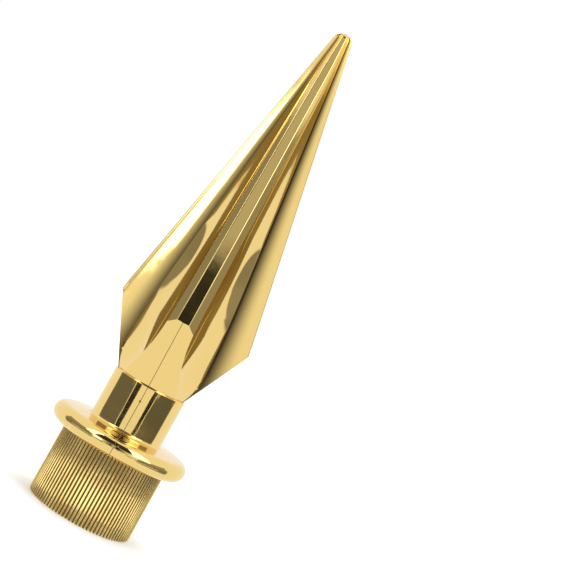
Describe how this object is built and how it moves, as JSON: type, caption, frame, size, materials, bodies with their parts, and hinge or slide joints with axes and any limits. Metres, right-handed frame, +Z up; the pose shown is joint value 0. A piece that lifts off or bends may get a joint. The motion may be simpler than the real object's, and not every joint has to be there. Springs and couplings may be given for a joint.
{
  "type": "flagpole finial",
  "caption": "Spear-head flagpole finial with fluted vanes, on a round neck and flange above a ribbed sleeve with a blind socket for the pole's end.",
  "frame": {"origin": "middle of the sleeve's lower end, where the finial stands", "axes": "+Z up along the finial's axis to the tip, with wide vanes along +Y and -Y and thin wings along +X and -X"},
  "size_m": [0.0424, 0.0424, 0.1568],
  "materials": {
    "plated_gold": "mirror-bright vacuum-plated gold on moulded ABS"
  },
  "bodies": {
    "root": {"finial": "plated_gold"}
  },
  "joints": []
}
